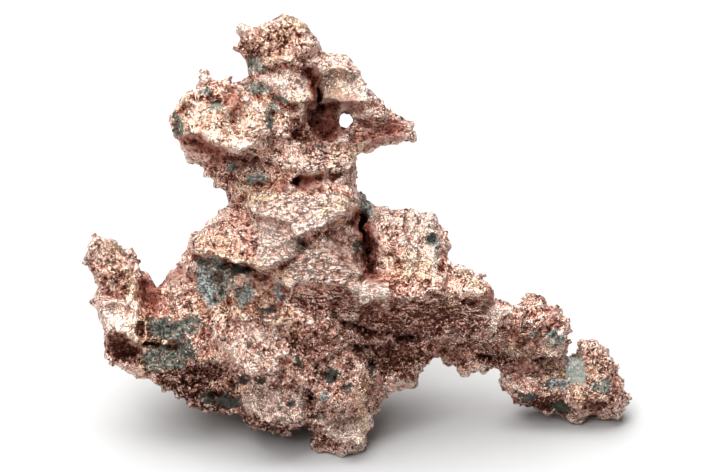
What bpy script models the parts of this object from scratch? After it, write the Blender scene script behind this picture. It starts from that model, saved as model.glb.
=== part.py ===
"""A native copper nugget, grown as one piece: a leaning trunk with a head and beak above it,
a short left arm, a long shelf that runs out to a right hand, and a belly that ends in a foot.

The nugget is modelled in its face frame: x across the face, y up the face, z out of it, in
millimetres. It then leans back by LEAN_DEG and stands in metres, with +Z up, on its foot, its
hand and the keel behind, all trimmed flat by the ground.
"""

import math

import bmesh
import bpy
import numpy as np
from mathutils import Matrix, Vector, noise

MM = 0.001
NAME = "copper_nugget"

LEAN_DEG = 60.0  # angle between the nugget's face and the ground it stands on
FLOOR = -30.3  # height of the ground from the face frame's origin, once leaned back
SPHERE_DETAIL = 4
VOXEL = 0.55  # the grid on which the lobes grow together
HOLLOW_VOXEL = 0.275
TRIANGLES = 9400
LUMP_SIZE = 5.0  # spacing of the swellings that break up the smooth lobes
LUMP_DEPTH = 0.75
GRAIN_SIZE = 1.9
GRAIN_DEPTH = 0.3
FACET_SIZE = 5.5  # spacing of the flat planes that the metal grew along
FACET_SLOPE = 0.42
FACET_SPREAD = 7.0  # sets neighbouring cells far apart in the random field, so tilts differ
HALF = Vector((0.5, 0.5, 0.5))
SEED = Vector((3.7, 1.3, 8.1))

COPPER = (0.72, 0.34, 0.24, 1.0)
ROUGHNESS = 0.38

# Each lobe is an ellipsoid: centre x, y, z, half-widths along its own axes, and its turn in
# the plane of the face, in degrees.
LOBES = {
    "crest": [
        (-11.2, 31.0, 3.0, 5.6, 5.2, 5.5, 0),
        (-14.6, 32.0, 3.0, 3.3, 3.2, 4.0, 0),
        (-8.3, 30.9, 2.5, 2.4, 4.0, 4.0, 30),
        (-17.2, 33.5, 4.0, 1.9, 1.7, 2.2, 0),
        (-18.0, 31.0, 4.0, 2.4, 1.2, 1.8, -8),
        (-15.6, 28.2, 3.5, 2.1, 2.0, 3.0, 0),
        (-6.6, 29.2, 2.0, 3.0, 1.9, 3.6, -40),
    ],
    "brow": [
        (-12.0, 25.5, 5.0, 4.2, 2.6, 4.2, 0),
        (-9.0, 23.2, 5.2, 2.6, 2.8, 3.6, 0),
        (-16.2, 24.6, 3.0, 2.4, 1.8, 3.5, 0),
        (-13.0, 21.5, 2.0, 5.0, 5.5, 6.0, 0),
        (-9.3, 19.3, 4.0, 1.8, 2.8, 3.5, 0),
    ],
    "cheek": [
        (-19.5, 18.5, 5.5, 6.6, 5.6, 6.0, 10),
        (-25.5, 18.8, 4.0, 5.0, 5.2, 5.0, 0),
        (-23.9, 22.4, 3.5, 4.9, 2.4, 4.0, 8),
        (-24.8, 25.4, 3.5, 1.2, 1.4, 1.6, 0),
        (-20.8, 24.5, 3.5, 1.2, 1.1, 1.6, 0),
        (-15.5, 17.0, 6.0, 3.0, 3.6, 4.6, 0),
        (-23.9, 14.2, 0.0, 4.2, 2.7, 5.0, -35),
        (-19.5, 11.5, 0.0, 5.0, 4.0, 5.5, 0),
    ],
    "beak": [
        (-2.8, 27.2, 2.5, 3.3, 2.6, 4.0, 0),
        (-0.2, 25.0, 2.5, 3.6, 2.5, 3.8, -50),
        (2.4, 21.6, 2.0, 3.4, 1.8, 3.0, -42),
        (5.9, 19.3, 1.5, 4.3, 1.8, 2.3, -38),
        (8.3, 17.2, 1.5, 2.0, 1.1, 1.4, -20),
        (4.0, 16.8, 1.5, 4.3, 2.3, 2.6, 12),
        (0.6, 16.2, 0.5, 4.2, 2.4, 3.2, 0),
        (-3.0, 15.6, 2.0, 3.6, 1.7, 3.8, 0),
    ],
    "neck": [
        (-9.5, 13.4, 2.5, 7.5, 4.6, 6.0, 0),
        (-4.2, 11.4, 0.0, 4.6, 5.0, 6.0, 0),
        (-15.0, 9.5, 0.5, 6.0, 4.2, 6.5, 0),
        (-17.0, 6.4, 0.0, 4.2, 3.4, 5.0, 0),
        (-9.0, 6.0, 1.0, 9.6, 5.0, 7.5, 0),
    ],
    "trunk": [
        (-12.0, 2.6, 4.0, 10.5, 5.6, 7.0, 12),
        (-19.2, 0.8, 3.0, 7.6, 4.3, 7.0, 35),
        (-24.1, -3.0, 1.0, 5.6, 4.0, 6.5, 40),
        (-17.5, -3.0, 6.2, 8.6, 2.5, 4.2, -12),
        (-4.5, 4.2, 4.5, 6.0, 3.6, 6.0, 15),
        (0.9, 5.2, -1.5, 1.7, 2.7, 4.0, 35),
        (-8.0, -6.5, 3.0, 9.0, 6.0, 7.6, -15),
        (-1.5, -6.8, 5.0, 5.0, 3.4, 5.6, -35),
        (-20.0, -9.5, 0.0, 8.5, 6.5, 7.5, 0),
        (-27.0, -9.0, -1.0, 4.8, 4.5, 6.0, 35),
        (-12.5, 6.0, 6.2, 7.5, 2.6, 4.0, 16),
        (-20.5, -0.8, 6.0, 5.0, 2.2, 3.6, 30),
        (-5.5, -1.5, 6.6, 4.4, 2.4, 4.0, -38),
    ],
    "left_arm": [
        (-43.4, -1.5, -1.0, 1.4, 1.8, 1.5, 0),
        (-41.8, -3.0, -1.0, 2.7, 2.3, 2.6, 0),
        (-38.4, -4.6, -1.0, 2.8, 2.5, 2.8, -15),
        (-44.3, -3.8, -1.0, 1.3, 1.3, 1.4, 0),
        (-40.5, -7.6, -1.0, 2.8, 4.0, 3.6, 8),
        (-37.6, -8.0, -1.0, 2.6, 3.6, 3.4, 0),
        (-35.0, -6.9, -2.0, 0.8, 1.4, 1.2, 0),
        (-34.4, -9.2, -2.0, 1.8, 2.0, 2.4, 0),
        (-42.4, -11.0, -0.5, 1.1, 1.2, 1.4, 0),
        (-38.8, -13.0, 1.0, 3.8, 4.6, 4.4, 10),
        (-39.4, -18.3, -0.5, 2.7, 3.6, 3.8, 0),
        (-36.0, -20.0, 0.0, 4.4, 2.9, 4.4, -18),
    ],
    "left_flank": [
        (-33.2, -12.6, -2.0, 3.0, 3.8, 4.4, 0),
        (-30.8, -10.2, -2.5, 3.4, 2.7, 3.8, 20),
        (-31.5, -16.5, 0.5, 4.4, 4.0, 5.0, 0),
        (-31.0, -21.5, -0.5, 4.8, 3.4, 5.0, -28),
        (-26.0, -17.5, 0.0, 5.5, 6.0, 7.0, 0),
        (-25.0, -24.9, -1.0, 4.5, 4.1, 6.0, -22),
    ],
    "belly": [
        (-17.0, -17.0, 2.0, 8.5, 7.0, 8.0, 0),
        (-8.0, -17.5, 2.5, 7.0, 6.5, 8.0, 0),
        (-20.6, -26.2, -1.0, 4.3, 3.9, 6.0, 0),
        (-20.4, -27.6, -1.0, 3.2, 2.7, 4.4, 0),
        (-15.0, -26.8, 2.0, 4.6, 5.8, 6.5, 25),
        (-11.3, -28.1, 2.0, 4.4, 5.0, 6.5, 0),
        (-1.5, -21.0, 1.5, 6.5, 6.0, 7.0, 0),
        (4.8, -21.3, 0.0, 5.2, 4.8, 5.5, 0),
        (8.4, -21.4, -0.5, 3.4, 4.4, 4.2, -15),
        (11.0, -18.6, -1.0, 3.0, 2.6, 3.4, 20),
        (12.8, -19.6, -0.5, 1.8, 1.0, 1.8, 30),
        (-13.0, -13.6, 5.2, 7.5, 3.6, 5.2, 18),
        (-21.5, -14.0, 3.6, 5.0, 3.4, 5.0, -24),
        (-12.0, -21.8, 5.0, 5.4, 3.4, 5.2, -20),
        (-22.6, -20.4, 3.0, 4.6, 3.6, 5.0, 35),
        (-4.6, -24.2, 4.0, 3.6, 2.8, 4.6, 10),
        (3.0, -19.8, 4.6, 3.6, 2.4, 3.8, -20),
    ],
    "foot": [
        (-3.2, -27.5, 1.5, 4.4, 5.0, 6.0, 0),
        (0.7, -28.2, 1.0, 3.4, 3.8, 5.0, 0),
        (-2.6, -32.0, 0.5, 4.6, 3.8, 4.8, 0),
        (-0.4, -34.2, 0.6, 2.8, 2.9, 3.8, 0),
        (-5.0, -34.0, 0.5, 2.5, 2.1, 3.0, 0),
    ],
    "shoulder": [
        (4.6, 2.2, -1.0, 2.8, 2.8, 4.0, 0),
        (8.5, 0.2, 0.0, 5.0, 3.7, 5.5, 0),
        (11.5, 1.6, -1.0, 2.1, 2.4, 3.6, -25),
        (13.9, -1.8, -1.0, 2.0, 2.6, 3.6, 0),
        (8.2, -4.6, 2.5, 6.0, 4.6, 5.5, 0),
        (12.5, -5.5, 1.0, 3.2, 4.2, 5.0, 0),
        (3.8, -1.6, 1.6, 3.4, 4.4, 4.6, 10),
        (-0.8, 0.4, 2.4, 2.8, 3.4, 4.4, 20),
        (6.4, -0.8, 4.0, 2.4, 3.4, 3.2, -20),
    ],
    "shelf": [
        (2.5, -9.6, 5.0, 5.4, 3.4, 5.0, 0),
        (9.5, -9.0, 4.0, 7.0, 3.2, 5.4, 0),
        (16.8, -8.2, 2.0, 3.0, 2.9, 4.4, 0),
        (19.8, -8.8, 1.5, 4.0, 2.4, 4.2, -28),
        (21.3, -9.2, 1.0, 1.9, 1.5, 2.8, 0),
        (2.0, -12.8, -1.5, 9.0, 3.8, 6.0, -4),
        (12.0, -13.9, -1.5, 9.0, 4.5, 5.4, -4),
        (18.5, -14.8, -2.0, 6.0, 4.2, 5.0, -8),
        (15.6, -19.6, -3.0, 1.3, 1.9, 1.8, 0),
        (18.9, -21.4, -3.0, 1.6, 2.4, 2.0, 0),
        (21.9, -20.8, -3.5, 2.3, 2.0, 2.4, 0),
    ],
    "wrist": [
        (24.3, -14.4, -1.5, 3.6, 3.3, 4.2, 0),
        (28.4, -14.6, -1.5, 4.0, 3.4, 4.4, 0),
        (29.9, -12.0, -2.0, 2.1, 2.0, 2.6, 0),
        (32.8, -13.8, -2.0, 2.0, 2.3, 3.0, -15),
        (33.3, -16.8, -1.5, 3.0, 2.7, 3.4, 0),
        (28.5, -17.6, -2.0, 5.4, 2.6, 4.0, -8),
        (26.5, -20.6, -5.0, 4.0, 2.0, 3.0, 0),
    ],
    "hand": [
        (28.9, -24.4, -5.5, 4.2, 3.7, 4.4, -24),
        (32.8, -25.9, -5.7, 5.2, 4.2, 5.0, -12),
        (37.6, -25.6, -6.2, 4.6, 4.8, 5.4, 0),
        (41.5, -25.7, -6.4, 4.1, 4.6, 5.0, 0),
        (37.2, -29.3, -6.9, 2.8, 2.3, 3.4, 0),
        (43.2, -29.0, -7.0, 2.6, 2.5, 3.2, 0),
        (39.6, -20.3, -5.0, 1.9, 2.9, 2.6, 15),
        (41.5, -21.6, -5.5, 1.8, 3.1, 3.0, 20),
        (33.6, -20.6, -4.5, 3.4, 1.4, 2.6, -5),
    ],
    "back": [
        (-15.0, 21.0, -3.0, 9.0, 6.0, 5.5, 20),
        (-10.0, 10.0, -4.5, 8.5, 8.0, 6.5, 0),
        (-13.0, -2.0, -6.0, 12.0, 8.0, 7.5, 15),
        (2.0, -5.0, -6.0, 9.0, 6.5, 5.5, -20),
        (-17.0, -14.0, -8.5, 11.0, 8.0, 7.5, 0),
        (-4.0, -16.0, -7.5, 9.5, 7.0, 7.0, 0),
        (-22.0, -19.6, -16.6, 5.4, 5.2, 6.4, 12),
        (-14.6, -17.0, -17.0, 6.0, 4.6, 5.8, -14),
        (-7.4, -17.9, -18.8, 4.8, 4.7, 6.2, 20),
        (-8.0, -13.0, -13.0, 6.5, 6.0, 6.5, 0),
        (-25.6, -14.0, -10.0, 5.0, 5.6, 5.5, 30),
        (-14.6, 5.0, -7.6, 5.4, 5.0, 5.2, 25),
        (-5.5, 3.0, -9.5, 6.0, 4.2, 4.4, -30),
        (-11.5, 16.0, -6.0, 8.0, 5.4, 4.6, 15),
        (-18.0, 21.2, -4.6, 4.4, 3.4, 4.6, 0),
        (7.6, -8.6, -7.4, 6.0, 4.8, 4.6, 14),
        (12.0, -5.0, -4.6, 3.6, 4.2, 4.2, 30),
        (21.5, -13.6, -5.2, 6.4, 3.8, 3.8, -12),
        (30.6, -18.4, -5.6, 4.4, 3.4, 3.6, -25),
        (-33.4, -16.6, -4.4, 4.6, 5.0, 4.6, 10),
        (-11.5, 30.2, -1.6, 5.0, 4.4, 4.0, 20),
        (-5.2, 21.2, -2.8, 5.0, 6.6, 3.2, 0),
        (1.2, 20.3, 1.4, 3.0, 2.4, 2.6, -40),
        (-0.8, 20.6, 0.8, 2.6, 3.4, 2.4, -30),
        (1.5, -0.5, -4.5, 5.0, 5.5, 4.5, 0),
    ],
}

# Hollows are ellipsoids too, written the same way. They are cut from the grown mass.
HOLLOWS = {
    "window": [(-1.4, 19.3, 0.0, 1.3, 1.45, 16.0, 0)],
    "cave": [
        (-5.0, 19.0, 6.0, 2.0, 3.1, 5.5, 8),
        (-7.8, 17.1, 6.5, 2.0, 1.4, 3.6, -15),
    ],
    "neck_slit": [(-8.3, 8.8, 8.6, 2.4, 0.9, 3.2, 5)],
    "groove": [
        (1.2, 0.9, 3.5, 1.1, 2.6, 5.0, 10),
        (2.1, -2.6, 5.5, 1.1, 2.8, 5.0, 8),
    ],
    "under_ledge": [
        (-22.5, -6.4, 9.0, 4.6, 2.2, 3.4, -14),
        (-17.0, -9.0, 9.6, 4.4, 2.6, 3.0, -10),
    ],
    "under_shelf": [
        (4.5, -16.9, 4.5, 5.6, 0.7, 5.0, -2),
        (0.6, -16.2, 8.5, 2.2, 0.8, 3.0, 0),
    ],
    "wrist_slot": [
        (23.2, -20.4, -0.5, 2.5, 0.9, 3.6, -8),
        (28.0, -20.8, 0.0, 2.6, 0.5, 3.4, 0),
    ],
    "belly_pits": [
        (-7.2, -27.3, 8.0, 0.7, 1.8, 3.6, 0),
        (-3.8, -23.0, 8.6, 1.3, 0.8, 2.8, 20),
        (-28.4, -24.0, 5.2, 1.0, 1.2, 3.0, 0),
        (2.8, -22.4, 7.4, 0.6, 1.7, 2.6, 0),
    ],
}


def clear_scene():
    for item in list(bpy.data.objects):
        bpy.data.objects.remove(item)


def new_collection(name):
    made = bpy.data.collections.new(name)
    bpy.context.scene.collection.children.link(made)
    return made


def ellipsoids(name, groups, collection):
    """One mesh object that holds an icosphere for every row of the groups, in millimetres."""
    grown = bmesh.new()
    for rows in groups.values():
        for x, y, z, wide, tall, deep, turn in rows:
            place = (
                Matrix.Translation((x, y, z))
                @ Matrix.Rotation(math.radians(turn), 4, "Z")
                @ Matrix.Diagonal((wide, tall, deep, 1.0))
            )
            bmesh.ops.create_icosphere(
                grown, subdivisions=SPHERE_DETAIL, radius=1.0, matrix=place
            )
    mesh = bpy.data.meshes.new(name)
    grown.to_mesh(mesh)
    grown.free()
    made = bpy.data.objects.new(name, mesh)
    collection.objects.link(made)
    return made


def remesh(target, size):
    """Fuses overlapping shells into one skin on a grid of the given size."""
    fuse = target.modifiers.new("fuse", "REMESH")
    fuse.mode = "VOXEL"
    fuse.voxel_size = size


def freeze(target):
    """Replaces the object's mesh by its evaluated one, and drops the modifiers."""
    graph = bpy.context.evaluated_depsgraph_get()
    settled = bpy.data.meshes.new_from_object(target.evaluated_get(graph))
    target.modifiers.clear()
    target.data = settled


def grow(collection, cutters):
    """The lobes grown together, with the hollows cut out of them."""
    nugget = ellipsoids(NAME, LOBES, collection)
    remesh(nugget, VOXEL)
    hollows = ellipsoids("hollows", HOLLOWS, cutters)
    remesh(hollows, HOLLOW_VOXEL)
    hollows.hide_render = True
    hollows.display_type = "WIRE"
    freeze(hollows)
    cut = nugget.modifiers.new("cut", "BOOLEAN")
    cut.operation = "DIFFERENCE"
    cut.object = hollows
    freeze(nugget)
    return nugget


def facet(point):
    """Height of the tilted plane that the point's own cell carries."""
    seed = noise.voronoi(point / FACET_SIZE + SEED)[1][0]
    tilt = noise.cell_vector(seed * FACET_SPREAD) - HALF
    return FACET_SLOPE * tilt.dot(point - (seed - SEED) * FACET_SIZE)


def roughen(nugget):
    """Moves the skin along its normals by lumps, grain and tilted facets, so that no lobe
    stays smooth."""
    mesh = nugget.data
    moved = np.empty((len(mesh.vertices), 3))
    for index, vertex in enumerate(mesh.vertices):
        lump = LUMP_DEPTH * noise.noise(vertex.co / LUMP_SIZE + SEED)
        grain = GRAIN_DEPTH * noise.noise(vertex.co / GRAIN_SIZE - SEED)
        push = lump + grain + facet(vertex.co)
        moved[index] = vertex.co + vertex.normal * push
    mesh.vertices.foreach_set("co", moved.ravel())
    mesh.update()


def stand(nugget):
    """Leans the face back, in metres, and trims the nugget flat where it meets the ground."""
    lean = Matrix.Rotation(math.radians(LEAN_DEG), 4, "X")
    lift = Matrix.Translation((0, 0, -FLOOR))
    nugget.data.transform(Matrix.Scale(MM, 4) @ lift @ lean)
    body = bmesh.new()
    body.from_mesh(nugget.data)
    cut = bmesh.ops.bisect_plane(
        body,
        geom=body.verts[:] + body.edges[:] + body.faces[:],
        plane_co=(0, 0, 0),
        plane_no=(0, 0, -1),
        clear_outer=True,
    )
    rims = [item for item in cut["geom_cut"] if isinstance(item, bmesh.types.BMEdge)]
    bmesh.ops.holes_fill(body, edges=rims, sides=0)
    bmesh.ops.triangulate(body, faces=body.faces[:])
    body.to_mesh(nugget.data)
    body.free()


def thin(nugget):
    """Cuts the count of triangles to the solid's budget."""
    nugget.data.calc_loop_triangles()
    fewer = nugget.modifiers.new("fewer", "DECIMATE")
    fewer.ratio = TRIANGLES / len(nugget.data.loop_triangles)
    fewer.use_collapse_triangulate = True
    freeze(nugget)


def centre(nugget):
    """Puts the origin at the middle of the nugget's footprint box."""
    points = np.empty(len(nugget.data.vertices) * 3)
    nugget.data.vertices.foreach_get("co", points)
    points = points.reshape(-1, 3)
    middle = (points.min(0) + points.max(0)) / 2
    nugget.data.transform(Matrix.Translation((-middle[0], -middle[1], 0)))


def native_copper():
    material = bpy.data.materials.new("native_copper")
    material.use_nodes = True
    shader = material.node_tree.nodes["Principled BSDF"]
    shader.inputs["Base Color"].default_value = COPPER
    shader.inputs["Metallic"].default_value = 1.0
    shader.inputs["Roughness"].default_value = ROUGHNESS
    return material


def main():
    clear_scene()
    nugget = grow(new_collection(NAME + "_parts"), new_collection("cutters"))
    roughen(nugget)
    remesh(nugget, VOXEL)
    freeze(nugget)
    thin(nugget)
    stand(nugget)
    centre(nugget)
    nugget.data.materials.clear()
    nugget.data.materials.append(native_copper())
    nugget.data.shade_smooth()


main()
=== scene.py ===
import math
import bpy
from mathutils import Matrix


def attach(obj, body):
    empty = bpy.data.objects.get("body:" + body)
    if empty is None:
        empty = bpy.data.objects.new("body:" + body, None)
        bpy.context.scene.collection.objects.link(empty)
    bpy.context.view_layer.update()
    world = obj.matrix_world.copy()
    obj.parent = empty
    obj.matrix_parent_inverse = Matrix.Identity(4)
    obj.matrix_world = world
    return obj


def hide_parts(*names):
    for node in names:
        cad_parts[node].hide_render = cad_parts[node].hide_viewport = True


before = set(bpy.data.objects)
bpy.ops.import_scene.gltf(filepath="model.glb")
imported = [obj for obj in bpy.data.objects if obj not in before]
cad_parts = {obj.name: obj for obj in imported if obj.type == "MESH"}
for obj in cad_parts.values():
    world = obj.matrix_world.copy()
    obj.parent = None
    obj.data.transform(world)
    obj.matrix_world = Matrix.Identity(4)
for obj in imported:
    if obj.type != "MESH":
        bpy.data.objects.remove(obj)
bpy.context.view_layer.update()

from types import SimpleNamespace

import bmesh
import bpy
import numpy as np
from mathutils import Matrix, Vector, noise

# The nugget is sculpted in its face frame, in millimetres: x across the face, y up the face and
# z out of it. The face leans back by LEAN from the ground, and its origin is at FACE_ORIGIN.
MM = 0.001
LEAN = math.radians(60.0)
FACE_ORIGIN = Vector((-0.00014, 0.00065, 0.0303))
GROUND = -FACE_ORIGIN.z / MM  # how high the ground is, straight up from the face's origin
NODE = "copper_nugget"

SKIN_GRID = 0.33  # the skin is sculpted on a mesh this fine
SKIN_TRIANGLES = 196_000  # and then thinned to this many
CRYSTALS = 2200
CRYSTAL_SEED = 7
DRIFT_SEED = 4  # noise_vector goes by the clock until it is given a seed
FIELD_STEP = np.array((3.7, 1.3, 8.1))  # each field is read this far times its number away

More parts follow.
